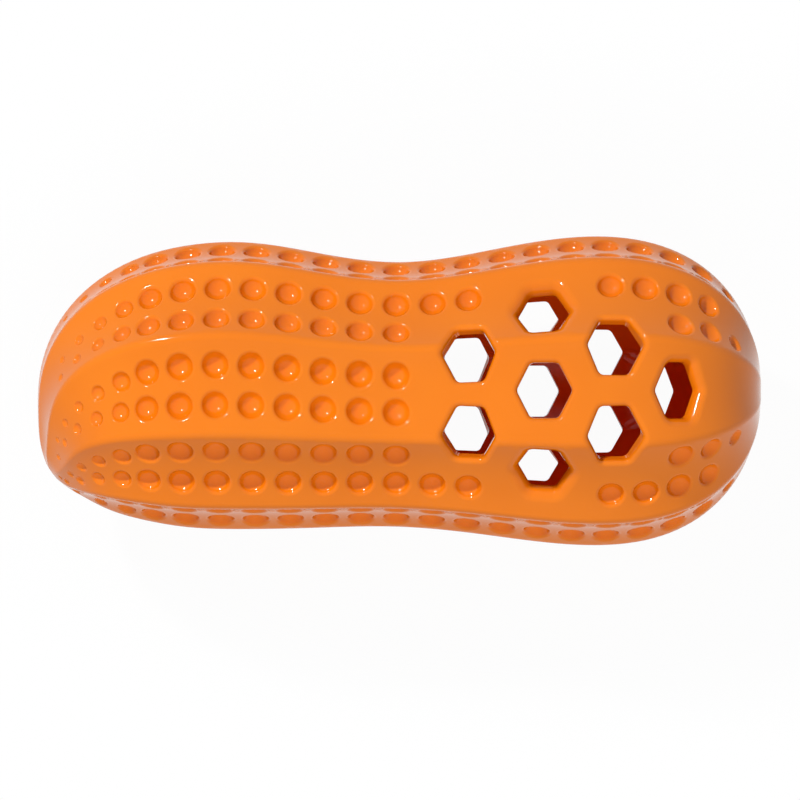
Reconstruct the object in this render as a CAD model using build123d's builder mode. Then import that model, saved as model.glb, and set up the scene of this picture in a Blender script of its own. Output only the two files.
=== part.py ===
"""Hollow rubber chew toy shaped like a peanut, with treat windows in one lobe and a squeaker in its waist.

Millimetres. Drawn with X along the toy, from the small lobe to the big lobe, and Z towards the side that is
seen. The drawing's origin is the middle of the waist, and its XY plane is the seam. At the end all pieces
are moved together, so that the toy lies on the floor with the origin under the middle of its box.
"""

import os
from math import asin, cos, degrees, hypot, pi, radians, sin, tan

from build123d import *

# Outline of the toy, seen from above
WAIST_TO_SMALL_LOBE = 35.2
WAIST_TO_BIG_LOBE = 39.9
SMALL_DOME_LENGTH = 39.6
BIG_DOME_LENGTH = 35.3
SMALL_LOBE_WIDTH = 59.7
WAIST_WIDTH = 55.0
BIG_LOBE_WIDTH = 64.2
SMALL_LOBE_SHIFT = 1.1
WAIST_SHIFT = -0.75

# Cross-section: facets with rounded ridges between them, and one wall all round
FACETS = 10
RIDGE_SHARE = 0.1
WALL = 4.0

# The big dome is a rounded-off ellipse, cut at these shares of its length, that ends in a flat gate mark
BIG_DOME_SHARES = (0.4, 0.66, 0.84, 0.94, 0.985)
DOME_ALONG_POWER = 2.4
DOME_ACROSS_POWER = 2.15
GATE_RADIUS = 2.3

# The small dome turns aside to an off-centre tip. Each row is one section, from the tip to the lobe: where
# it meets the upper edge and the lower edge, as shares of the dome's length and of half the lobe's width
SMALL_DOME_SHARES = (
    (0.960, -0.53, 0.892, -0.66),
    (0.988, -0.40, 0.844, -0.71),
    (1.000, -0.20, 0.781, -0.76),
    (0.993, 0.06, 0.720, -0.805),
    (0.942, 0.31, 0.668, -0.84),
    (0.820, 0.57, 0.586, -0.885),
    (0.622, 0.79, 0.448, -0.935),
    (0.358, 0.937, 0.253, -0.981),
)

# Seam between the two halves: a tongue on the lower one in a groove in the upper one
TONGUE_WIDTH = 1.4
TONGUE_HEIGHT = 1.5
SEAM_GAP = 0.15

# Six-sided treat windows, the same on both sides. Each row is one column of them: where its axis starts, as a
# share of the way from waist to big end and of the waist's shift, how many degrees it leans with the surface,
# its size as a share, and how many steps each window is turned around the toy
WINDOW_LENGTH = 11.2
WINDOW_WIDTH = 11.0
WINDOW_CORNER = 1.3
WINDOW_ROUND = 0.8
WINDOW_STEP = 17.5
WINDOW_START_SHARE = 0.35
RIM_SHARE = 0.6
WINDOW_COLUMN_SHARES = (
    (0.245, 0.85, -9, 0.93, (-1, 1)),
    (0.420, 0, -5, 1.00, (-2, 0, 2)),
    (0.533, 0, 6, 1.00, (-1, 1)),
    (0.547, 0, 28, 0.97, (0,)),
)

# Dimples: two rows on each facet, at equal steps from the waist, fading towards both ends. For the middle
# facet and then each pair beside it, and for the inner and outer row: the last step before the windows and
# the first step after them
DIMPLE_RADIUS = 2.7
DIMPLE_DEPTH = 1.8
DIMPLE_PITCH = 7.2
DIMPLE_ROW_SHARE = 0.42
DIMPLE_FADE_LENGTH = 40.0
DIMPLE_LEAST_SHARE = 0.3
DIMPLE_STEPS = (
    ((0, None), (0, None)),
    ((0, 8), (2, 6)),
    ((0, 1), (0, 1)),
)

# Bulkhead between the treat chamber and the air bulb, with its rim in a groove in both halves
BULKHEAD_THICKNESS = 3.5
BULKHEAD_SETBACK = 1.25
BULKHEAD_BITE = 0.6
BULKHEAD_GAP = 0.15
COLLAR_DIAMETER = 18.0
COLLAR_LENGTH = 7.0

# Squeaker on the toy's middle line, with its flange flush in the bulkhead's treat side
TUBE_DIAMETER = 12.0
TUBE_BORE = 9.6
TUBE_LENGTH = 14.5
FLANGE_DIAMETER = 16.0
FLANGE_THICKNESS = 1.5
LIP_BORE = 7.0
LIP_THICKNESS = 1.0
FIT_GAP = 0.05
BLOCK_LENGTH = 11.0
CLAMP_LENGTH = 2.6
SLOT_WIDTH = 3.4
SLOT_DEPTH = 2.2
DECK_DROP = 0.7
REED_WIDTH = 2.6
REED_THICKNESS = 0.3
REED_LENGTH = 7.0
BEAD_RADIUS = 0.6
BEAD_GAP = 0.08
SCREEN_THICKNESS = 2.0
SCREEN_HOLE_DIAMETER = 1.6
SCREEN_HOLE_CIRCLE = 5.0
SCREEN_HOLES = 5


def small_dome_point(along, across):
    return Vector(
        -WAIST_TO_SMALL_LOBE - along * SMALL_DOME_LENGTH,
        SMALL_LOBE_SHIFT + across * SMALL_LOBE_WIDTH / 2,
    )


def halfway(one, other):
    return tuple((a + b) / 2 for a, b in zip(one, other))


def edge_points():
    """Where each cross-section meets the outline's two edges, from the small tip to the big end."""
    upper = []
    lower = []
    for up_along, up_across, low_along, low_across in SMALL_DOME_SHARES:
        upper.append(small_dome_point(up_along, up_across))
        lower.append(small_dome_point(low_along, low_across))
    small = (-WAIST_TO_SMALL_LOBE, SMALL_LOBE_SHIFT, SMALL_LOBE_WIDTH / 2)
    waist = (0, WAIST_SHIFT, WAIST_WIDTH / 2)
    big = (WAIST_TO_BIG_LOBE, 0, BIG_LOBE_WIDTH / 2)
    levels = [small, halfway(small, waist), waist, halfway(waist, big), big]
    for share in BIG_DOME_SHARES:
        across = (1 - share**DOME_ALONG_POWER) ** (1 / DOME_ACROSS_POWER)
        along = WAIST_TO_BIG_LOBE + share * BIG_DOME_LENGTH
        levels.append((along, 0, across * BIG_LOBE_WIDTH / 2))
    levels.append((WAIST_TO_BIG_LOBE + BIG_DOME_LENGTH, 0, GATE_RADIUS))
    for along, shift, half in levels:
        upper.append(Vector(along, shift + half))
        lower.append(Vector(along, shift - half))
    return upper, lower


UPPER, LOWER = edge_points()
WAIST_SECTION = len(SMALL_DOME_SHARES) + 2
HALF_FACET = pi / FACETS
BIG_REACH = WAIST_TO_BIG_LOBE + BIG_DOME_LENGTH
ROOM = 2 * (SMALL_DOME_LENGTH + WAIST_TO_SMALL_LOBE + BIG_REACH)

with BuildLine() as outline:
    upper_edge = Spline(*UPPER)
    lower_edge = Spline(*LOWER)


def sections(inset):
    """The two ends of each cross-section in the seam, drawn in from the outline by the inset."""
    ends = []
    for high, low in zip(UPPER, LOWER):
        from_high = upper_edge.tangent_at(high).rotate(Axis.Z, -90) * inset
        from_low = lower_edge.tangent_at(low).rotate(Axis.Z, 90) * inset
        ends.append((high + from_high, low + from_low))
    return ends


def ridge_reach(high, low):
    """How far out a section's sharp ridges would be, for the rounded ridges to reach the outline."""
    return (high - low).length / 2 / (1 - RIDGE_SHARE * (1 / cos(HALF_FACET) - 1))


def peanut(inset):
    """The whole toy as one solid, drawn in from its outside by the inset."""
    with BuildPart() as solid:
        for high, low in sections(inset):
            across = high - low
            reach = ridge_reach(high, low)
            normal = across.cross(Vector(0, 0, 1))
            upright = Plane(origin=(high + low) / 2, x_dir=across, z_dir=normal)
            with BuildSketch(upright):
                RegularPolygon(radius=reach, side_count=FACETS)
                fillet(vertices(), radius=RIDGE_SHARE * reach)
        loft()
    return solid.part


def seam_rib(gap):
    """A rib along the middle of the wall, standing on the seam, grown by the gap."""
    with BuildPart() as rib:
        add(peanut((WALL - TONGUE_WIDTH) / 2 - gap))
        add(peanut((WALL + TONGUE_WIDTH) / 2 + gap), mode=Mode.SUBTRACT)
        stand = (Align.CENTER, Align.CENTER, Align.MIN)
        Box(ROOM, ROOM, TONGUE_HEIGHT + gap, align=stand, mode=Mode.INTERSECT)
    return rib.part


def bulkhead_plate(gap):
    """The bulkhead's plate, with its rim in the walls, grown by the gap."""
    with BuildPart() as plate:
        add(peanut(WALL - BULKHEAD_BITE - gap))
        with Locations((-BULKHEAD_SETBACK - BULKHEAD_THICKNESS / 2, 0, 0)):
            Box(BULKHEAD_THICKNESS + 2 * gap, ROOM, ROOM, mode=Mode.INTERSECT)
    return plate.part


def window_mouths():
    """The plane in the hollow where each window of the upper half starts, and its size as a share."""
    mouths = []
    for start, aside, lean, size, turns in WINDOW_COLUMN_SHARES:
        for turn in turns:
            side = radians(turn * WINDOW_STEP)
            out = Vector(tan(radians(lean)), sin(side), cos(side)).normalized()
            across = Vector(0, cos(side), -sin(side))
            start_point = Vector(start * BIG_REACH, aside * WAIST_SHIFT)
            foot = start_point + out * (WINDOW_START_SHARE * BIG_LOBE_WIDTH / 2)
            mouths.append((Plane(origin=foot, x_dir=across, z_dir=out), size))
    return mouths


def outer_rims(edges):
    """The curved edges where the windows come out of the wall."""
    rims = []
    for mouth, size in window_mouths():
        around = []
        for edge in edges:
            place = mouth.to_local_coords(edge.center())
            if place.Z > 0 and hypot(place.X, place.Y) < RIM_SHARE * size * WINDOW_LENGTH:
                around.append((place.Z, edge))
        middle = sum(level for level, edge in around) / len(around)
        rims += [edge for level, edge in around if level > middle]
    return rims


def facet_row(ends, turn, place):
    """A line along one facet, turned from the seen one, at a place between its ridges from -1 to 1."""
    points = []
    for high, low in ends:
        reach = ridge_reach(high, low)
        flat = reach * cos(HALF_FACET)
        beside = place * reach * sin(HALF_FACET)
        across = flat * sin(turn) + beside * cos(turn)
        up = flat * cos(turn) - beside * sin(turn)
        points.append((high + low) / 2 + (high - low).normalized() * across + Vector(0, 0, up))
    return Edge.make_spline(points), points[WAIST_SECTION]


def row_balls(row, waist, lift, last, first):
    """The balls that press one row of dimples, which leaves out the steps from the last to the first."""
    start = row.length * row.param_at_point(waist)
    balls = []
    steps_before = int(start / DIMPLE_PITCH)
    steps_after = int((row.length - start) / DIMPLE_PITCH)
    for step in range(-steps_before, steps_after + 1):
        distance = start + step * DIMPLE_PITCH
        fade = min(1, min(distance, row.length - distance) / DIMPLE_FADE_LENGTH)
        shown = step <= last or (first is not None and step >= first)
        if shown and fade > DIMPLE_LEAST_SHARE:
            middle = row.position_at(distance, position_mode=PositionMode.LENGTH)
            balls.append((middle, hypot(lift, fade * DIMPLE_RADIUS)))
    return balls


def dimple_balls():
    """Middle and radius of the ball that presses each dimple of the upper half."""
    lift = (DIMPLE_RADIUS**2 - DIMPLE_DEPTH**2) / (2 * DIMPLE_DEPTH)
    raised = sections(-lift)
    balls = []
    for pair, rows in enumerate(DIMPLE_STEPS):
        for side in (-1, 1) if pair else (1,):
            turn = side * pair * 2 * HALF_FACET
            for place, (last, first) in zip((-side, side), rows):
                row, waist = facet_row(raised, turn, place * DIMPLE_ROW_SHARE)
                balls += row_balls(row, waist, lift, last, first)
    return balls


# Both halves are the same but for the seam: hollow, with windows and dimples
with BuildPart() as half_shell:
    add(peanut(0))
    add(peanut(WALL), mode=Mode.SUBTRACT)
    split(bisect_by=Plane.XY, keep=Keep.TOP)
    with BuildPart(mode=Mode.SUBTRACT):
        for mouth, size in window_mouths():
            with BuildSketch(mouth):
                flat = size * WINDOW_WIDTH / 2
                point = size * WINDOW_LENGTH / 2
                right_side = [(0, point), (flat, point / 2), (flat, -point / 2)]
                left_side = [(-x, -y) for x, y in right_side]
                Polygon(*right_side, *left_side)
                fillet(vertices(), radius=WINDOW_CORNER)
            extrude(amount=BIG_LOBE_WIDTH / 2)
    fillet(outer_rims(half_shell.edges().filter_by(GeomType.BSPLINE)), radius=WINDOW_ROUND)
    with BuildPart(mode=Mode.SUBTRACT):
        for middle, radius in dimple_balls():
            with Locations(middle):
                Sphere(radius)

groove = bulkhead_plate(BULKHEAD_GAP)

with BuildPart() as top_shell:
    add(half_shell.part)
    add(seam_rib(SEAM_GAP), mode=Mode.SUBTRACT)
    add(groove, mode=Mode.SUBTRACT)

with BuildPart() as bottom_shell:
    mirror(half_shell.part, about=Plane.XY)
    add(seam_rib(0))
    add(groove, mode=Mode.SUBTRACT)

# The squeaker's own axis: out of the treat side of the bulkhead, with up kept up
face = Plane(origin=(-BULKHEAD_SETBACK, WAIST_SHIFT, 0), x_dir=(0, 1, 0), z_dir=(1, 0, 0))


def behind(depth):
    """The squeaker's plane at a depth behind the bulkhead's treat side."""
    return face.offset(-depth)


with BuildPart() as bulkhead:
    add(bulkhead_plate(0))
    with BuildSketch(behind(BULKHEAD_THICKNESS)):
        Circle(COLLAR_DIAMETER / 2)
    extrude(amount=-COLLAR_LENGTH)
    with BuildSketch(face):
        Circle(TUBE_DIAMETER / 2)
    extrude(amount=-BULKHEAD_THICKNESS - COLLAR_LENGTH, mode=Mode.SUBTRACT)
    with BuildSketch(face):
        Circle(FLANGE_DIAMETER / 2)
    extrude(amount=-FLANGE_THICKNESS, mode=Mode.SUBTRACT)

with BuildPart() as squeaker_tube:
    with BuildSketch(face):
        Circle(TUBE_DIAMETER / 2 - FIT_GAP)
    extrude(amount=-TUBE_LENGTH)
    with BuildSketch(face):
        Circle(FLANGE_DIAMETER / 2 - FIT_GAP)
    extrude(amount=-FLANGE_THICKNESS)
    with BuildSketch(face):
        Circle(LIP_BORE / 2)
    extrude(amount=-LIP_THICKNESS, mode=Mode.SUBTRACT)
    with BuildSketch(behind(LIP_THICKNESS)):
        Circle(TUBE_BORE / 2)
    extrude(amount=LIP_THICKNESS - TUBE_LENGTH, mode=Mode.SUBTRACT)

BLOCK_BACK = LIP_THICKNESS + BLOCK_LENGTH
BEAD_DEPTH = BLOCK_BACK - CLAMP_LENGTH / 2
BLOCK_RADIUS = TUBE_BORE / 2 - FIT_GAP
bead_line = Plane(origin=behind(BEAD_DEPTH).origin, x_dir=(1, 0, 0), z_dir=(0, 1, 0))


# The round groove of the reed's root, and the way out for its tongue
with BuildPart() as bead_groove:
    with BuildSketch(bead_line):
        Circle(BEAD_RADIUS + BEAD_GAP)
        Rectangle(CLAMP_LENGTH, 2 * BEAD_RADIUS, align=(Align.MIN, Align.CENTER))
    extrude(amount=TUBE_BORE / 2, both=True)

with BuildPart() as reed_block:
    with BuildSketch(behind(LIP_THICKNESS)):
        Circle(BLOCK_RADIUS)
        Rectangle(TUBE_BORE, TUBE_BORE / 2, align=(Align.CENTER, Align.MIN), mode=Mode.SUBTRACT)
    extrude(amount=-BLOCK_LENGTH)
    with BuildSketch(behind(LIP_THICKNESS)):
        with Locations((0, -DECK_DROP)):
            Rectangle(TUBE_BORE, DECK_DROP, align=(Align.CENTER, Align.MIN))
            Rectangle(SLOT_WIDTH, SLOT_DEPTH, align=(Align.CENTER, Align.MAX))
    extrude(amount=CLAMP_LENGTH - BLOCK_LENGTH, mode=Mode.SUBTRACT)
    add(bead_groove.part, mode=Mode.SUBTRACT)

with BuildPart() as reed_clamp:
    with BuildSketch(behind(BLOCK_BACK - CLAMP_LENGTH)):
        Circle(BLOCK_RADIUS)
        Rectangle(TUBE_BORE, TUBE_BORE / 2, align=(Align.CENTER, Align.MAX), mode=Mode.SUBTRACT)
    extrude(amount=-CLAMP_LENGTH)
    add(bead_groove.part, mode=Mode.SUBTRACT)

with BuildPart() as reed:
    with BuildSketch(bead_line):
        Circle(BEAD_RADIUS)
        Rectangle(REED_LENGTH, REED_THICKNESS, align=(Align.MIN, Align.CENTER))
    extrude(amount=REED_WIDTH / 2, both=True)

with BuildPart() as squeaker_screen:
    with BuildSketch(behind(BLOCK_BACK)):
        Circle(BLOCK_RADIUS)
        with PolarLocations(SCREEN_HOLE_CIRCLE / 2, SCREEN_HOLES):
            Circle(SCREEN_HOLE_DIAMETER / 2, mode=Mode.SUBTRACT)
    extrude(amount=-SCREEN_THICKNESS)

# Laid on the floor: the small lobe is thinner, so the toy tips until both lobes touch
pieces = {
    "top_shell": top_shell,
    "bottom_shell": bottom_shell,
    "bulkhead": bulkhead,
    "squeaker_tube": squeaker_tube,
    "reed_block": reed_block,
    "reed_clamp": reed_clamp,
    "reed": reed,
    "squeaker_screen": squeaker_screen,
}
lobe_drop = (BIG_LOBE_WIDTH - SMALL_LOBE_WIDTH) / 2 * cos(HALF_FACET)
tip = Rotation(0, -degrees(asin(lobe_drop / (WAIST_TO_SMALL_LOBE + WAIST_TO_BIG_LOBE))), 0)
upper_box = (tip * top_shell.part).bounding_box()
lower_box = (tip * bottom_shell.part).bounding_box()
box = upper_box.add(lower_box)
laid = Pos(-box.center().X, -box.center().Y, -lower_box.min.Z) * tip

os.makedirs("parts", exist_ok=True)
for name, piece in pieces.items():
    solid = laid * piece.part
    solid.label = name
    export_step(solid, f"parts/{name}.step")
hinge = laid * Pos(bead_line.origin)
print("reed hinge at", hinge.position, "tip", tip.orientation, "box", box.size)
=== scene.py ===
"""Looks of the hollow rubber chew toy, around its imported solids. Metres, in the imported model's frame.

The two rubber halves are drawn again as fine meshes, in the toy's own frame: X along the toy from the small
lobe to the big one, Y up in the photograph, Z towards its camera, and the seam in the XY plane. A place on
the skin is a pair: s, the way along the toy, and q, the count of facets round from the upper seam ridge.
The squeaker and its bulkhead stay as they were packed, with finer materials.
"""

from collections import namedtuple
from math import asin, cos, hypot, pi, radians, sin, tan

import bpy
import numpy as np
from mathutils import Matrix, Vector
from mathutils.geometry import delaunay_2d_cdt


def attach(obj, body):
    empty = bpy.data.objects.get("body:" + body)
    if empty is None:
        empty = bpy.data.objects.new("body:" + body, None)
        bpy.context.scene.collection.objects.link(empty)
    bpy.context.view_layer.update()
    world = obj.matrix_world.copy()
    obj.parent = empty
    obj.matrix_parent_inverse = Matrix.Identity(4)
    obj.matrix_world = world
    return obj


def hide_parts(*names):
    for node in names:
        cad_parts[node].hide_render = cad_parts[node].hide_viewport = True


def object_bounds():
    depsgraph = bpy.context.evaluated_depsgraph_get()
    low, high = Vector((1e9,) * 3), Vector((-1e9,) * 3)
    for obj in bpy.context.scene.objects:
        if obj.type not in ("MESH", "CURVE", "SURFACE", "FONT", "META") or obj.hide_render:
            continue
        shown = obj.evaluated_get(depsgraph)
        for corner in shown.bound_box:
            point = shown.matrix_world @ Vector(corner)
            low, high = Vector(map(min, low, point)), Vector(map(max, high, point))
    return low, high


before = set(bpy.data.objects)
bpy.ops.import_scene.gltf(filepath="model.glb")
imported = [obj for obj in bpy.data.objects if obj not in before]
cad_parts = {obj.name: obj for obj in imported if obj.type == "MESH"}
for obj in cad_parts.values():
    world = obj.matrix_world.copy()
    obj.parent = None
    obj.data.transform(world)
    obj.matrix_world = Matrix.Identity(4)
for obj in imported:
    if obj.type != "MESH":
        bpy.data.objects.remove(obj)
CAD_LOW, CAD_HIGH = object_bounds()

# Outline of the toy, seen from above
WAIST_TO_SMALL_LOBE = 0.0352
WAIST_TO_BIG_LOBE = 0.0399
SMALL_DOME_LENGTH = 0.0396
BIG_DOME_LENGTH = 0.0353
SMALL_LOBE_WIDTH = 0.0597
WAIST_WIDTH = 0.0550
BIG_LOBE_WIDTH = 0.0642
SMALL_LOBE_SHIFT = 0.0011
WAIST_SHIFT = -0.00075
SMALL_REACH = WAIST_TO_SMALL_LOBE + SMALL_DOME_LENGTH
BIG_REACH = WAIST_TO_BIG_LOBE + BIG_DOME_LENGTH

# The big dome's sections, as shares of its length, and the flat gate mark at its end
BIG_DOME_SHARES = (0.4, 0.66, 0.84, 0.94, 0.985)
DOME_ALONG_POWER = 2.4
DOME_ACROSS_POWER = 2.15
GATE_RADIUS = 0.0023

# The small dome's sections from the tip: where each meets the upper and the lower edge of the outline
SMALL_DOME_SHARES = (
    (0.960, -0.53, 0.892, -0.66),
    (0.988, -0.40, 0.844, -0.71),
    (1.000, -0.20, 0.781, -0.76),
    (0.993, 0.06, 0.720, -0.805),
    (0.942, 0.31, 0.668, -0.84),
    (0.820, 0.57, 0.586, -0.885),
    (0.622, 0.79, 0.448, -0.935),
    (0.358, 0.937, 0.253, -0.981),
)

# Cross-section: half of it has five facets, hollow between rounded ridges at uneven turns from the seam
HALF_FACETS = 5
HALF_TURN = pi / HALF_FACETS / 2
RIDGE_SHARE = 0.1
RIDGE_TURNS = (radians(33.4), radians(70.4))
FLUTE_DEPTH = 0.0014
FLUTE_EDGE_SHARE = 0.85
WALL = 0.004

# Treat windows, with rims that are rounder the more a window leans
WINDOW_LENGTH = 0.0112
WINDOW_WIDTH = 0.0110
WINDOW_CORNER = 0.0013
WINDOW_ROUND = 0.0010
WINDOW_LEAN_ROUNDING = 9.0
WINDOW_STEP = 17.5

# Columns of windows: start along the toy and in the waist's shift, lean, width, length, and turns in steps
WINDOW_COLUMN_SHARES = (
    (0.245, 1.0, -9, 0.95, 0.95, (-1, 1)),
    (0.420, 0, -5, 1.00, 1.00, (0,)),
    (0.420, 0, -5, 0.93, 0.93, (-2, 2)),
    (0.533, 0, 6, 1.00, 1.00, (-1, 1)),
    (0.559, 0, 28, 1.02, 0.80, (0,)),
)

# Dimples, with shares for the middle facet and for each pair of facets beside it
DIMPLE_RADIUS = 0.0027
DIMPLE_DEPTH = 0.0020
DIMPLE_ROUND = 0.0009
DIMPLE_PITCH = 0.00725
DIMPLE_START = -0.00035
DIMPLE_ROW_SHARES = (0.39, 0.42, 0.44)
DIMPLE_SHIFT_SHARES = (0, 0.034, 0)
DIMPLE_BEND_SHARES = (0.22, 0.22, 0)
DIMPLE_EVEN_LENGTH = 0.049
DIMPLE_CROWDING_SHARE = 0.8
SMALL_FADE_START = 0.0025
SMALL_FADE_LENGTH = 0.029
BIG_FADE_LENGTH = 0.030
DIMPLE_LEAST_SHARE = 0.25
DIMPLE_LIFT = (DIMPLE_RADIUS**2 - DIMPLE_DEPTH**2) / (2 * DIMPLE_DEPTH)

# Steps of the dimples, inner and outer row of those facets: the last before the windows, and those after
DIMPLE_STEPS = (
    ((0, range(0)), (0, range(0))),
    ((0, range(8, 11)), (2, range(6, 10))),
    ((0, range(1, 11)), (0, range(1, 11))),
)

# Parting line where the halves meet
SEAM_DROP = 0.00012
SEAM_BAND_SHARE = 0.015

# Mesh steps
SKIN_STEP = 0.0015
INNER_STEP = 0.003
END_CROWDING_SHARE = 0.6
RIDGE_ZONE_SHARE = 0.08
RIDGE_STEPS = 5
FACET_STEPS = 8
INNER_RIDGE_STEPS = 2
INNER_FACET_STEPS = 4
BOWL_SIDES = 26
BOWL_RING_SHARES = (0.3, 0.55, 0.75, 0.9, 1.0)
ROUND_STEPS = 4
CORNER_STEPS = 5
EDGE_STEPS = 5
MESH_GAP = 0.0005
TABLE_STEPS = 2000
MAP_SCALE = 1000
MAP_MERGE = 1e-7
SMALL_STEP = 1e-6
SMALL_TURN = 1e-5
SEARCH_STEPS = 100
SEARCH_EDGE_SHARE = 0.5
SEARCH_TURN_SHARE = 0.1
SEARCH_ROUNDS = 12

# Camera of the photograph, looking straight at the seam plane, and the pixel of the toy's own origin
PHOTO_SIDE = 800
PIXEL_SIZE = 0.0002078
TOY_PIXEL = (398.0, 390.8)
VIEW_DISTANCE = 0.665
SENSOR = 36.0


def unit(rows):
    """The rows, each brought to length 1."""
    return rows / np.linalg.norm(rows, axis=-1, keepdims=True)


# Shape of the skin


def outline_sections():
    """Where each cross-section meets the upper and lower edge of the outline, from the small tip."""
    rows = []
    for up_along, up_across, low_along, low_across in SMALL_DOME_SHARES:
        row = []
        for along, across in ((up_along, up_across), (low_along, low_across)):
            row.append(-WAIST_TO_SMALL_LOBE - along * SMALL_DOME_LENGTH)
            row.append(SMALL_LOBE_SHIFT + across * SMALL_LOBE_WIDTH / 2)
        rows.append(row)
    small = np.array((-WAIST_TO_SMALL_LOBE, SMALL_LOBE_SHIFT, SMALL_LOBE_WIDTH / 2))
    waist = np.array((0, WAIST_SHIFT, WAIST_WIDTH / 2))
    big = np.array((WAIST_TO_BIG_LOBE, 0, BIG_LOBE_WIDTH / 2))
    levels = [small, (small + waist) / 2, waist, (waist + big) / 2, big]
    for share in BIG_DOME_SHARES:
        across = (1 - share**DOME_ALONG_POWER) ** (1 / DOME_ACROSS_POWER)
        along = WAIST_TO_BIG_LOBE + share * BIG_DOME_LENGTH
        levels.append((along, 0, across * BIG_LOBE_WIDTH / 2))
    levels.append((BIG_REACH, 0, GATE_RADIUS))
    for along, shift, half in levels:
        rows.append((along, shift + half, along, shift - half))
    return np.array(rows, float)


def smooth_curve(knots, values):
    """A cubic spline through the values, as a function that gives its points and slopes."""
    count = len(knots)
    step = np.diff(knots)
    rise = np.diff(values, axis=0) / step[:, None]
    system = np.eye(count)
    right = np.zeros_like(values)
    for i in range(1, count - 1):
        system[i, i - 1 : i + 2] = step[i - 1], 2 * (step[i - 1] + step[i]), step[i]
        right[i] = 6 * (rise[i] - rise[i - 1])
    bend = np.linalg.solve(system, right)

    def curve(s):
        i = np.clip(np.searchsorted(knots, s) - 1, 0, count - 2)
        width = step[i][:, None]
        b = (s - knots[i])[:, None] / width
        a = 1 - b
        bow = (a**3 - a) * bend[i] + (b**3 - b) * bend[i + 1]
        turn = (3 * b**2 - 1) * bend[i + 1] - (3 * a**2 - 1) * bend[i]
        return a * values[i] + b * values[i + 1] + bow * width**2 / 6, rise[i] + turn * width / 6

    return curve


SECTIONS = outline_sections()
SECTION_STEPS = np.diff(SECTIONS, axis=0).reshape(-1, 2, 2)
KNOTS = np.concatenate([[0], np.cumsum(np.linalg.norm(SECTION_STEPS, axis=2).mean(axis=1))])
OUTLINE = smooth_curve(KNOTS, SECTIONS)
S_END = KNOTS[-1]
S_WAIST = KNOTS[len(SMALL_DOME_SHARES) + 2]
Q_MIDDLE = HALF_FACETS / 2
SIDE = 2 * sin(HALF_TURN)


def ridge_turns(inset):
    """The turns of all ridges of the half, with one more past each seam. The inside is a plain decagon."""
    first, second = (2 * HALF_TURN, 4 * HALF_TURN) if inset > 0 else RIDGE_TURNS
    return np.array((-first, 0, first, second, pi - second, pi - first, pi, pi + first))


def section(q, inset):
    """Across and up on a rounded section of reach 1, and the direction that it faces there."""
    ridge = np.round(q).astype(int)
    before, at, after = (ridge_turns(inset)[ridge + i] for i in range(3))
    middle = (before + 2 * at + after) / 4
    half_turn = (after - before) / 4
    chord = 2 * np.sin(np.where(q > ridge, after - at, at - before) / 2)
    tangent = RIDGE_SHARE * np.tan(half_turn)
    past = (q - ridge) * chord
    rounded = np.clip(past, -tangent, tangent)
    flat = past - rounded
    facing = middle + rounded / tangent * half_turn
    drawn_in = RIDGE_SHARE / np.cos(half_turn)
    across = np.cos(at) - drawn_in * np.cos(middle) + RIDGE_SHARE * np.cos(facing) - flat * np.sin(facing)
    up = np.sin(at) - drawn_in * np.sin(middle) + RIDGE_SHARE * np.sin(facing) + flat * np.cos(facing)
    return across, up, facing


def flute_shares(q):
    """How deep the flutes are, as shares: a hollow arc across each facet, eased out at its ridges."""
    aside = np.abs(2 * (q - np.floor(q)) - 1)
    arc = FLUTE_EDGE_SHARE - aside**2
    ease = FLUTE_EDGE_SHARE / (1 - FLUTE_EDGE_SHARE) * (1 - aside) ** 2
    return np.where(aside < FLUTE_EDGE_SHARE, arc, ease)


def section_ends(s, inset):
    """The two ends of the cross-sections at s, in the seam, drawn in from the outline."""
    point, slope = OUTLINE(s)
    high_way, low_way = unit(slope[:, :2]), unit(slope[:, 2:])
    high = point[:, :2] + inset * np.stack([high_way[:, 1], -high_way[:, 0]], 1)
    low = point[:, 2:] + inset * np.stack([-low_way[:, 1], low_way[:, 0]], 1)
    seam_half_turn = ridge_turns(inset)[2] / 2
    reach = np.linalg.norm(high - low, axis=1) / 2 / (1 - RIDGE_SHARE * (1 / cos(seam_half_turn) - 1))
    return high, low, reach


def skin(s, q, inset=0.0):
    """Points of the toy's skin, or of the same skin drawn in by the inset. Only the outside is fluted."""
    high, low, reach = section_ends(s, inset)
    across, up, facing = section(q, inset)
    flute = FLUTE_DEPTH * reach / (BIG_LOBE_WIDTH / 2) * flute_shares(q)
    sunk = np.where(inset > 0, 0, flute)
    across = across * reach - sunk * np.cos(facing)
    up = up * reach - sunk * np.sin(facing)
    return np.column_stack([(high + low) / 2 + unit(high - low) * across[:, None], up])


def slopes(s, q, inset=0.0):
    """How the skin moves with s and with q, and the direction that it faces."""
    ahead, behind = np.minimum(s + SMALL_STEP, S_END), np.maximum(s - SMALL_STEP, 0)
    along = (skin(ahead, q, inset) - skin(behind, q, inset)) / (ahead - behind)[:, None]
    around = (skin(s, q + SMALL_TURN, inset) - skin(s, q - SMALL_TURN, inset)) / (2 * SMALL_TURN)
    return along, around, unit(np.cross(around, along))


def lengths_along(q, inset=0.0):
    """Fine places along one line of the skin, and how far each is from the small tip."""
    s = np.linspace(0, S_END, TABLE_STEPS)
    steps = np.diff(skin(s, np.full_like(s, q), inset), axis=0)
    return s, np.concatenate([[0], np.cumsum(np.linalg.norm(steps, axis=1))])


MIDDLE_S, MIDDLE_FAR = lengths_along(Q_MIDDLE)


def unrolled(s, q):
    """A flat map of the half skin: the way along its middle line, and the way round from it."""
    reach = section_ends(s, 0)[2]
    return np.stack([np.interp(s, MIDDLE_S, MIDDLE_FAR), (q - Q_MIDDLE) * SIDE * reach], 1)


# Dimples


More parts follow.
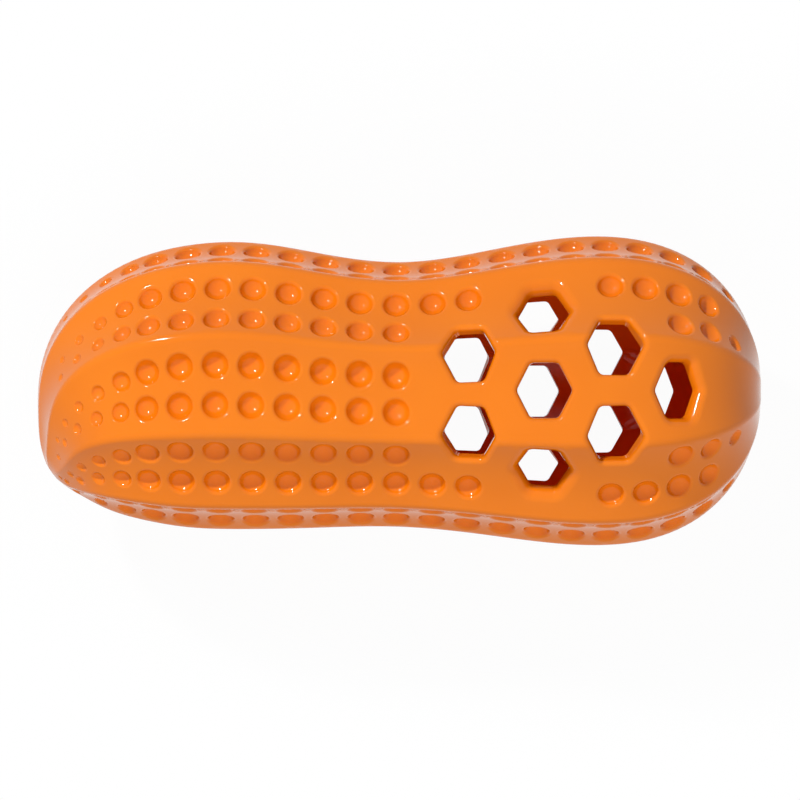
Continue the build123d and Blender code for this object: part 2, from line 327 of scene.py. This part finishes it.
def dimple_rows():
    """Every row of dimples of one half: its place round the toy, how far it bends, and its steps."""
    for pair, rows in enumerate(DIMPLE_STEPS):
        for side in (-1, 1) if pair else (1,):
            facet = Q_MIDDLE - side * (pair - DIMPLE_SHIFT_SHARES[pair])
            for place, (last, later) in zip((-side, side), rows):
                bend = DIMPLE_BEND_SHARES[pair] if place > 0 else 0
                yield facet - place * DIMPLE_ROW_SHARES[pair] / 2, bend, last, later


def dimples():
    """The place and the mouth radius of every dimple of one half."""
    found = []
    for q, bend, last, later in dimple_rows():
        s, far = lengths_along(q, -DIMPLE_LIFT)
        start = np.interp(S_WAIST, s, far) + DIMPLE_START
        first = -int(start / DIMPLE_PITCH / DIMPLE_CROWDING_SHARE)
        for step in [*range(first, last + 1), *later]:
            crowded = min(0, step * DIMPLE_PITCH + DIMPLE_EVEN_LENGTH)
            at = start + step * DIMPLE_PITCH - (1 - DIMPLE_CROWDING_SHARE) * crowded
            middle_s, middle_q = np.interp([at], far, s), np.array([q])
            from_tip = skin(middle_s, middle_q)[0, 0] + SMALL_REACH + SMALL_FADE_START
            small_fade = min(1, from_tip / SMALL_FADE_LENGTH)
            fade = min(small_fade, (far[-1] - at) / BIG_FADE_LENGTH)
            if fade > DIMPLE_LEAST_SHARE:
                bent_q = middle_q + (1 - small_fade) * bend
                found.append((middle_s, bent_q, fade * DIMPLE_RADIUS))
    return found


def bowl_rings(mouth):
    """Rings of a ball-shaped dimple with a rounded rim: radius, depth under the skin, and slope there."""
    ball = hypot(DIMPLE_LIFT, mouth)
    edge = DIMPLE_ROUND * mouth / DIMPLE_RADIUS
    outer = ((ball + edge) ** 2 - (DIMPLE_LIFT + edge) ** 2) ** 0.5
    inner = outer * ball / (ball + edge)
    rings = []
    for share in BOWL_RING_SHARES:
        radius = share * inner
        height = (ball**2 - radius**2) ** 0.5
        rings.append((radius, height - DIMPLE_LIFT, radius / height))
    for i in range(1, ROUND_STEPS + 1):
        angle = asin(inner / ball) * (1 - i / ROUND_STEPS)
        rings.append((outer - edge * sin(angle), edge * (1 - cos(angle)), tan(angle)))
    return ball - DIMPLE_LIFT, rings


# Windows

Window = namedtuple("Window", "start across along out round outline facings")


def window_outline(wide, long):
    """Points round a six-sided window with rounded corners, and the outward direction at each."""
    flat, point = wide * WINDOW_WIDTH / 2, long * WINDOW_LENGTH / 2
    right_side = np.array([(0, point), (flat, point / 2), (flat, -point / 2)])
    corners = np.concatenate([right_side, -right_side])
    edges = unit(np.roll(corners, -1, axis=0) - corners)
    normals = np.stack([-edges[:, 1], edges[:, 0]], 1)
    arcs, turns = [], []
    for corner, before, after in zip(corners, np.roll(normals, 1, axis=0), normals):
        middle = corner - WINDOW_CORNER * (before + after) / (1 + before @ after)
        turn = unit(np.linspace(before, after, CORNER_STEPS))
        arcs.append(middle + WINDOW_CORNER * turn)
        turns.append(turn)
    points, facings = [], []
    for i, arc in enumerate(arcs):
        following = arcs[(i + 1) % len(arcs)]
        straight = np.linspace(arc[-1], following[0], EDGE_STEPS + 1)[1:-1]
        points += [arc, straight]
        facings += [turns[i], np.repeat(turns[i][-1:], len(straight), axis=0)]
    return np.concatenate(points), np.concatenate(facings)


def windows():
    """Every window of one half: its own axes, where they start in the seam plane, and its outline."""
    found = []
    for start, aside, lean, wide, long, turns in WINDOW_COLUMN_SHARES:
        for turn in turns:
            side = radians(turn * WINDOW_STEP)
            out = unit(np.array((tan(radians(lean)), sin(side), cos(side))))
            across = np.array((0, cos(side), -sin(side)))
            foot = np.array((start * BIG_REACH, aside * WAIST_SHIFT, 0))
            round_edge = WINDOW_ROUND * (1 + WINDOW_LEAN_ROUNDING * (1 - out[2]))
            outline = window_outline(wide, long)
            found.append(Window(foot, across, np.cross(out, across), out, round_edge, *outline))
    return found


def seen_from(window, points):
    """Points as the window's own axes see them."""
    return (points - window.start) @ np.stack([window.across, window.along], 1)


def on_skin(window, targets, inset):
    """The places on the skin where the window's axes see the targets."""
    along = np.linspace(S_WAIST, S_END, SEARCH_STEPS)
    around = np.arange(SEARCH_EDGE_SHARE, HALF_FACETS, SEARCH_TURN_SHARE)
    s, q = (places.ravel() for places in np.meshgrid(along, around))
    nearest = np.argmin(np.linalg.norm(seen_from(window, skin(s, q, inset)), axis=1))
    s = np.full(len(targets), s[nearest])
    q = np.full(len(targets), q[nearest])
    plane = np.stack([window.across, window.along], 1)
    for attempt in range(SEARCH_ROUNDS):
        miss = seen_from(window, skin(s, q, inset)) - targets
        by_s, by_q = slopes(s, q, inset)[:2]
        change = np.stack([by_s @ plane, by_q @ plane], 2)
        step = np.linalg.solve(change, miss[:, :, None])[:, :, 0]
        s = np.clip(s - step[:, 0], 0, S_END)
        q = np.clip(q - step[:, 1], 0, HALF_FACETS)
    return s, q


# Mesh of one half

FREE, UPPER_SEAM, LOWER_SEAM, FIRST_WINDOW = range(4)


class SkinNet:
    """One skin of a half: its places are gathered first, then joined into triangles on a flat map."""

    def __init__(self, inset):
        self.inset = inset
        self.rows = []
        self.edges = []
        self.discs = []
        self.count = 0

    def gather(self, s, q, move=0.0, normal=None, kind=FREE):
        """Adds places, how each is moved off the skin, and the normal there. Gives their numbers."""
        if normal is None:
            normal = slopes(s, q, self.inset)[2]
        self.rows.append((s, q, skin(s, q, self.inset) + move, normal, np.full(len(s), kind)))
        self.count += len(s)
        return np.arange(self.count - len(s), self.count)

    def add_windows(self, found, rings):
        """Adds rings round each window: how far out and sunk, in its rim's radius, and how far turned."""
        self.windows = found
        self.rims = []
        for number, window in enumerate(found):
            outward = window.facings @ np.stack([window.across, window.along])
            for i, (offset, sunk, angle) in enumerate(rings):
                s, q = on_skin(window, window.outline + window.facings * offset * window.round, self.inset)
                facing = slopes(s, q, self.inset)[2]
                normal = facing * cos(angle) - outward * sin(angle)
                kind = FREE if i else FIRST_WINDOW + number
                ring = self.gather(s, q, -window.out * sunk * window.round, normal, kind)
                if i == 0:
                    self.rims.append(ring)
                    self.edges += list(zip(ring, np.roll(ring, -1)))

    def add_dimple(self, s, q, mouth):
        """Adds a dimple as its lowest point and rings round it, out to the end of its rim."""
        by_s, by_q, facing = slopes(s, q)
        ways = np.concatenate([unit(by_s), np.cross(facing, unit(by_s))])
        back = np.linalg.inv(np.stack([ways @ by_s[0], ways @ by_q[0]], 1))
        depth, rings = bowl_rings(mouth)
        self.gather(s, q, -facing * depth, facing)
        turn = np.linspace(0, 2 * pi, BOWL_SIDES, endpoint=False)
        round_ways = np.stack([np.cos(turn), np.sin(turn)], 1)
        for radius, sunk, slope in rings:
            shift = radius * round_ways @ back.T
            ring_s, ring_q = s + shift[:, 0], q + shift[:, 1]
            normal = slopes(ring_s, ring_q)[2] - slope * (round_ways @ ways)
            self.gather(ring_s, ring_q, -facing * sunk, unit(normal))
        self.discs.append((skin(s, q), rings[-1][0] + MESH_GAP))

    def add_seams(self, s, drop):
        """Adds the two edges that lie in the seam, and beside each a line that stays on the skin."""
        self.seams, self.bands = [], []
        for q, inward, kind in ((0, 1, UPPER_SEAM), (HALF_FACETS, -1, LOWER_SEAM)):
            places = np.full_like(s, q)
            facing = slopes(s, places, self.inset)[2]
            edge = self.gather(s, places, -facing * drop, facing, kind)
            band = self.gather(s, places + inward * SEAM_BAND_SHARE)
            self.seams.append(edge)
            self.bands.append(band)
            for row in (edge, band):
                self.edges += list(zip(row[:-1], row[1:]))

    def add_background(self, s, q):
        """Adds a net of places wherever there is no dimple or window, and keeps the two end rows."""
        s, q = (part.ravel() for part in np.meshgrid(s, q))
        points = skin(s, q, self.inset)
        clear = np.ones(len(s), bool)
        for centre, radius in self.discs:
            clear &= np.linalg.norm(points - centre, axis=1) > radius
        for window in self.windows:
            reach = np.sum(window.outline * window.facings, axis=1)
            beyond = np.max(seen_from(window, points) @ window.facings.T - reach, axis=1)
            clear &= (beyond > window.round + MESH_GAP) | ((points - window.start) @ window.out < 0)
        s, q = s[clear], q[clear]
        numbers = self.gather(s, q)
        upper, lower = np.stack([self.seams, self.bands], 2)
        self.ends = []
        for end, corner in ((0, 0), (S_END, -1)):
            row = numbers[s == end]
            row = row[np.argsort(q[s == end])]
            self.ends.append(np.concatenate([upper[corner], row, lower[corner][::-1]]))

    def joined(self):
        """All points and normals, and the triangles between them, which face inwards."""
        s, q, points, normals, kinds = (np.concatenate(part) for part in zip(*self.rows))
        flat = [Vector(place) for place in unrolled(s, q) * MAP_SCALE]
        edges = [(int(a), int(b)) for a, b in self.edges]
        faces, sources = delaunay_2d_cdt(flat, edges, [], 0, MAP_MERGE)[2:4]
        triangles = np.array([[sources[corner][0] for corner in face] for face in faces])
        kind = kinds[triangles]
        closed_off = (kind[:, 0] > FREE) & (kind[:, 0] == kind[:, 1]) & (kind[:, 0] == kind[:, 2])
        return points, normals, triangles[~closed_off]


def places_along(step):
    """Places along the toy, closer together at its tight ends."""
    share = np.linspace(0, 1, int(S_END / step))
    return S_END * (share - END_CROWDING_SHARE * np.sin(2 * pi * share) / (2 * pi))


def places_round(ridge_steps, facet_steps):
    """Places round the half section, closer together on the ridges, without those at the seam."""
    one_facet = np.concatenate([
        np.linspace(0, RIDGE_ZONE_SHARE, ridge_steps)[:-1],
        np.linspace(RIDGE_ZONE_SHARE, 1 - RIDGE_ZONE_SHARE, facet_steps + 1)[:-1],
        np.linspace(1 - RIDGE_ZONE_SHARE, 1, ridge_steps)[:-1],
    ])
    return (np.arange(HALF_FACETS)[:, None] + one_facet).ravel()[1:]


def half_shell():
    """Points, faces and corner normals of the closed upper half, and its count of outer faces."""
    found = windows()
    seam_s = places_along(SKIN_STEP)
    turned = [pi / 2 * (1 - i / ROUND_STEPS) for i in range(ROUND_STEPS + 1)]
    outer = SkinNet(0.0)
    outer.add_windows(found, [(1 - sin(a), 1 - cos(a), a) for a in turned])
    for place in dimples():
        outer.add_dimple(*place)
    outer.add_seams(seam_s, SEAM_DROP)
    outer.add_background(seam_s, places_round(RIDGE_STEPS, FACET_STEPS))
    inner = SkinNet(WALL)
    inner.add_windows(found, [(0, 0, 0)])
    inner.add_seams(seam_s, 0)
    inner.add_background(places_along(INNER_STEP), places_round(INNER_RIDGE_STEPS, INNER_FACET_STEPS))

    outer_points, outer_normals, outer_faces = outer.joined()
    inner_points, inner_normals, inner_faces = inner.joined()
    points = np.concatenate([outer_points, inner_points])
    base = len(outer_points)
    faces, normals = [], []

    def add(corners, corner_normals):
        faces.append([int(c) for c in corners])
        normals.extend(corner_normals)

    def end_facing(row, turn):
        """The direction in which a flat end of the toy faces."""
        first, top, last = points[row[[0, len(row) // 2, -1]]]
        return unit(np.cross(last - first, top - first)) * turn

    for face in outer_faces[:, ::-1]:
        add(face, outer_normals[face])
    for window, rim, foot in zip(found, outer.rims, inner.rims):
        inward = -window.facings @ np.stack([window.across, window.along])
        for i in range(len(rim)):
            j = (i + 1) % len(rim)
            add((rim[j], rim[i], foot[i] + base, foot[j] + base), inward[[j, i, i, j]])
    for row, turn in zip(outer.ends, (1, -1)):
        add(row[::-turn], [end_facing(row, turn)] * len(row))
    outer_count = len(faces)
    for face in inner_faces:
        add(face + base, -inner_normals[face])
    down = np.array((0.0, 0.0, -1.0))
    for edge, inner_edge, turn in zip(outer.seams, inner.seams, (1, -1)):
        for i in range(len(edge) - 1):
            corners = (edge[i], edge[i + 1], inner_edge[i + 1] + base, inner_edge[i] + base)
            add(corners[::turn], [down] * 4)
    for row, inner_row, turn in zip(outer.ends, inner.ends, (1, -1)):
        add((inner_row + base)[::turn], [-end_facing(row, turn)] * len(inner_row))
        add((row[0], row[-1], inner_row[-1] + base, inner_row[0] + base)[::-turn], [down] * 4)
    return points, faces, np.array(normals), outer_count


# From the toy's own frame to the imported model's: tipped until both lobes touch the floor

LOBE_DROP = (BIG_LOBE_WIDTH - SMALL_LOBE_WIDTH) / 2 * cos(HALF_TURN)
TIP = asin(LOBE_DROP / (WAIST_TO_SMALL_LOBE + WAIST_TO_BIG_LOBE))
TIPPED = np.array([[cos(TIP), 0, -sin(TIP)], [0, 1, 0], [sin(TIP), 0, cos(TIP)]])
MIRROR = np.array((1.0, 1.0, -1.0))

half_points, half_faces, half_normals, outer_count = half_shell()
both = np.concatenate([half_points, half_points * MIRROR]) @ TIPPED.T
lowest, highest = both.min(axis=0), both.max(axis=0)
off_middle = np.array(CAD_LOW + CAD_HIGH) / 2 - (lowest + highest) / 2
LAID = np.array((*off_middle[:2], CAD_LOW.z - lowest[2]))


def in_frame(point):
    """A point, or rows of them, brought from the toy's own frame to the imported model's."""
    return np.asarray(point, float) @ TIPPED.T + LAID


def mirrored(points, faces, normals):
    """The half on the other side of the seam, with its faces run backwards so that they face outwards."""
    order = []
    start = 0
    for face in faces:
        order.extend(range(start + len(face) - 1, start - 1, -1))
        start += len(face)
    return points * MIRROR, [face[::-1] for face in faces], normals[order] * MIRROR


def make_half(name, node, points, faces, normals):
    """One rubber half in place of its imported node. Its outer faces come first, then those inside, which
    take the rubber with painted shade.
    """
    mesh = bpy.data.meshes.new(name)
    mesh.from_pydata(in_frame(points).tolist(), [], faces)
    mesh.shade_smooth()
    mesh.normals_split_custom_set((normals @ TIPPED.T).tolist())
    mesh.materials.append(RUBBER)
    # The inside faces take a redder rubber, which is painted shade for the dim hollow
    mesh.materials.append(INNER_RUBBER_PAINTED_SHADE)
    mesh.polygons.foreach_set("material_index", (np.arange(len(faces)) >= outer_count).astype(int))
    piece = bpy.data.objects.new(name, mesh)
    bpy.context.scene.collection.objects.link(piece)
    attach(piece, "toy")
    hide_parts(node)


# Materials: features per metre of their cloud, gloss and grain, the grain's relief, and other shader inputs

NOISE_SHARES = (0.3, 0.7)
NOISE_DETAIL = 2.0
Finish = namedtuple("Finish", "cloud gloss roughness grain detail depth strength inputs")
RUBBER_FINISH = Finish(
    cloud=60,
    gloss=250,
    roughness=(0.09, 0.10),
    grain=1500,
    detail=3.0,
    depth=0.00002,
    strength=0.1,
    inputs={"IOR": 1.5, "Specular IOR Level": 0.25},
)
PLASTIC_FINISH = Finish(
    cloud=300,
    gloss=900,
    roughness=(0.35, 0.5),
    grain=4000,
    detail=NOISE_DETAIL,
    depth=0.00002,
    strength=0.3,
    inputs={"Subsurface Weight": 0.2, "Subsurface Radius": (0.001, 0.001, 0.001)},
)
FILM_FINISH = Finish(
    cloud=800,
    gloss=2000,
    roughness=(0.15, 0.3),
    grain=5000,
    detail=NOISE_DETAIL,
    depth=0.00001,
    strength=0.2,
    inputs={"Transmission Weight": 0.3},
)


def new_material(name):
    """A material with its nodes, links and main shader."""
    material = bpy.data.materials.new(name)
    material.use_nodes = True
    tree = material.node_tree
    return material, tree, tree.nodes["Principled BSDF"]


def noise(tree, scale, detail=NOISE_DETAIL):
    """Noise in the object's own space, at a count of features per metre."""
    place = tree.nodes.new("ShaderNodeTexCoord")
    texture = tree.nodes.new("ShaderNodeTexNoise")
    texture.inputs["Scale"].default_value = scale
    texture.inputs["Detail"].default_value = detail
    tree.links.new(place.outputs["Object"], texture.inputs["Vector"])
    return texture.outputs["Fac"]


def spread(tree, value, low, high):
    """The value, from its usual range, spread from low to high."""
    ramp = tree.nodes.new("ShaderNodeMapRange")
    ramp.inputs["From Min"].default_value, ramp.inputs["From Max"].default_value = NOISE_SHARES
    ramp.inputs["To Min"].default_value = low
    ramp.inputs["To Max"].default_value = high
    tree.links.new(value, ramp.inputs["Value"])
    return ramp.outputs["Result"]


def tinted(tree, value, dark, light):
    """A colour between dark and light."""
    mix = tree.nodes.new("ShaderNodeMix")
    mix.data_type = "RGBA"
    mix.inputs["A"].default_value = (*dark, 1)
    mix.inputs["B"].default_value = (*light, 1)
    tree.links.new(value, mix.inputs["Factor"])
    return mix.outputs["Result"]


def bumped(tree, shader, value, depth, strength):
    """Lets the value stand out of the surface as fine bumps."""
    bump = tree.nodes.new("ShaderNodeBump")
    bump.inputs["Distance"].default_value = depth
    bump.inputs["Strength"].default_value = strength
    tree.links.new(value, bump.inputs["Height"])
    tree.links.new(bump.outputs["Normal"], shader.inputs["Normal"])


def finished(name, finish, dark, light):
    """A material that clouds between two colours, with the finish's gloss, grain and other inputs."""
    material, tree, shader = new_material(name)
    cloud = spread(tree, noise(tree, finish.cloud), 0, 1)
    tree.links.new(tinted(tree, cloud, dark, light), shader.inputs["Base Color"])
    gloss = spread(tree, noise(tree, finish.gloss), *finish.roughness)
    tree.links.new(gloss, shader.inputs["Roughness"])
    for key, value in finish.inputs.items():
        shader.inputs[key].default_value = value
    bumped(tree, shader, noise(tree, finish.grain, finish.detail), finish.depth, finish.strength)
    return material


RUBBER = finished("orange_rubber", RUBBER_FINISH, dark=(0.86, 0.200, 0.003), light=(0.89, 0.215, 0.004))
# The inside skin: the same rubber with a redder, deeper base colour, which is painted shade standing in for
# the dim light inside the hollow
INNER_RUBBER_PAINTED_SHADE = finished(
    "orange_rubber_inside_painted_shade",
    RUBBER_FINISH,
    dark=(0.92, 0.130, 0.002),
    light=(0.95, 0.140, 0.003),
)
PLASTIC = finished("squeaker_plastic", PLASTIC_FINISH, dark=(0.80, 0.79, 0.74), light=(0.86, 0.85, 0.81))
FILM = finished("reed_film", FILM_FINISH, dark=(0.70, 0.72, 0.70), light=(0.78, 0.80, 0.78))
NODE_MATERIALS = {
    "bulkhead": RUBBER,
    "squeaker_tube": PLASTIC,
    "reed_block": PLASTIC,
    "reed_clamp": PLASTIC,
    "squeaker_screen": PLASTIC,
    "reed": FILM,
}

make_half("upper_half", "top_shell", half_points, half_faces, half_normals)
make_half("lower_half", "bottom_shell", *mirrored(half_points, half_faces, half_normals))
for node, material in NODE_MATERIALS.items():
    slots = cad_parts[node].data.materials
    slots.clear()
    slots.append(material)


# Stage: a white floor, a white surround, a small key light and a soft fill from the other side

FLOOR_MIDDLE = 0.035
FLOOR_SIZE = (0.32, 0.17)
FLOOR_FADE_SHARES = (0.66, 1.0)
FLOOR_COLOUR = (0.80, 0.80, 0.80)
FLOOR_ROUGHNESS = 0.9
WHITE_SHARE = 0.96
AMBIENT_STRENGTH = 0.26
KEY_WAY = (-0.46, 0.58, 0.67)
KEY_DISTANCE = 0.9
KEY_SIZE = 0.08
KEY_POWER = 5.5
FILL_WAY = (0.06, -0.62, 0.78)
FILL_DISTANCE = 1.2
FILL_SIZE = 1.0
FILL_POWER = 8.0


def seen_directly(tree):
    """1 for rays from the camera and for reflections and glass, 0 for the light that falls on things."""
    path = tree.nodes.new("ShaderNodeLightPath")
    total = path.outputs["Is Camera Ray"]
    for name in ("Is Glossy Ray", "Is Transmission Ray"):
        larger = tree.nodes.new("ShaderNodeMath")
        larger.operation = "MAXIMUM"
        tree.links.new(total, larger.inputs[0])
        tree.links.new(path.outputs[name], larger.inputs[1])
        total = larger.outputs["Value"]
    return total


def whole(tree):
    """1 in the middle of the floor, thinning out to 0 at its edge."""
    place = tree.nodes.new("ShaderNodeTexCoord")
    length = tree.nodes.new("ShaderNodeVectorMath")
    length.operation = "LENGTH"
    fall = tree.nodes.new("ShaderNodeMapRange")
    fall.interpolation_type = "SMOOTHSTEP"
    fall.inputs["From Min"].default_value, fall.inputs["From Max"].default_value = FLOOR_FADE_SHARES
    fall.inputs["To Min"].default_value = 1.0
    fall.inputs["To Max"].default_value = 0.0
    tree.links.new(place.outputs["Object"], length.inputs[0])
    tree.links.new(length.outputs["Value"], fall.inputs["Value"])
    return fall.outputs["Result"]


def floor():
    """A white floor that takes a faint shadow and thins out at its edge."""
    bpy.ops.mesh.primitive_plane_add(size=2, location=(FLOOR_MIDDLE, 0, CAD_LOW.z))
    plane = bpy.context.object
    plane.name = "floor"
    plane.scale = (FLOOR_SIZE[0] / 2, FLOOR_SIZE[1] / 2, 1)
    material, tree, shader = new_material("floor_white")
    shader.inputs["Base Color"].default_value = (*FLOOR_COLOUR, 1)
    shader.inputs["Roughness"].default_value = FLOOR_ROUGHNESS
    shader.inputs["Specular IOR Level"].default_value = 0
    glow = tree.nodes.new("ShaderNodeEmission")
    share = tree.nodes.new("ShaderNodeMath")
    share.operation = "MULTIPLY"
    share.inputs[1].default_value = WHITE_SHARE
    tree.links.new(seen_directly(tree), share.inputs[0])
    mix = tree.nodes.new("ShaderNodeMixShader")
    tree.links.new(share.outputs["Value"], mix.inputs["Fac"])
    tree.links.new(shader.outputs["BSDF"], mix.inputs[1])
    tree.links.new(glow.outputs["Emission"], mix.inputs[2])
    edge = tree.nodes.new("ShaderNodeMixShader")
    tree.links.new(whole(tree), edge.inputs["Fac"])
    tree.links.new(tree.nodes.new("ShaderNodeBsdfTransparent").outputs["BSDF"], edge.inputs[1])
    tree.links.new(mix.outputs["Shader"], edge.inputs[2])
    tree.links.new(edge.outputs["Shader"], tree.nodes["Material Output"].inputs["Surface"])
    plane.data.materials.append(material)


def surround():
    """A world that is white to look at, and dimmer as a light."""
    world = bpy.data.worlds.new("studio")
    world.use_nodes = True
    tree = world.node_tree
    background = tree.nodes["Background"]
    background.inputs["Color"].default_value = (1, 1, 1, 1)
    strength = tree.nodes.new("ShaderNodeMapRange")
    strength.inputs["To Min"].default_value = AMBIENT_STRENGTH
    strength.inputs["To Max"].default_value = 1.0
    tree.links.new(seen_directly(tree), strength.inputs["Value"])
    tree.links.new(strength.outputs["Result"], background.inputs["Strength"])
    bpy.context.scene.world = world


def lamp(name, way, distance, size, power, shape):
    """A flat lamp at a distance from the toy, on the given way from it, turned to face it."""
    data = bpy.data.lights.new(name, "AREA")
    data.shape = shape
    data.size = size
    data.energy = power
    light = bpy.data.objects.new(name, data)
    towards = Vector(TIPPED @ unit(np.array(way)))
    light.location = Vector(in_frame((0, 0, 0))) + towards * distance
    light.rotation_euler = towards.to_track_quat("Z", "Y").to_euler()
    bpy.context.scene.collection.objects.link(light)
    return light


def camera():
    """The photograph's camera, square to the seam plane."""
    data = bpy.data.cameras.new("photo")
    data.sensor_width = SENSOR
    data.lens = SENSOR * VIEW_DISTANCE / (PHOTO_SIDE * PIXEL_SIZE)
    eye = bpy.data.objects.new("photo", data)
    across = (PHOTO_SIDE / 2 - TOY_PIXEL[0]) * PIXEL_SIZE
    up = (TOY_PIXEL[1] - PHOTO_SIDE / 2) * PIXEL_SIZE
    eye.location = in_frame((across, up, VIEW_DISTANCE))
    eye.rotation_euler = (0, -TIP, 0)
    bpy.context.scene.collection.objects.link(eye)
    bpy.context.scene.camera = eye


floor()
surround()
lamp("key", KEY_WAY, KEY_DISTANCE, KEY_SIZE, KEY_POWER, "DISK")
fill = lamp("fill", FILL_WAY, FILL_DISTANCE, FILL_SIZE, FILL_POWER, "SQUARE")
# The fill lights the toy without a reflection of itself
fill.visible_glossy = False
camera()
bpy.context.scene.view_settings.view_transform = "Standard"

bpy.context.view_layer.update()
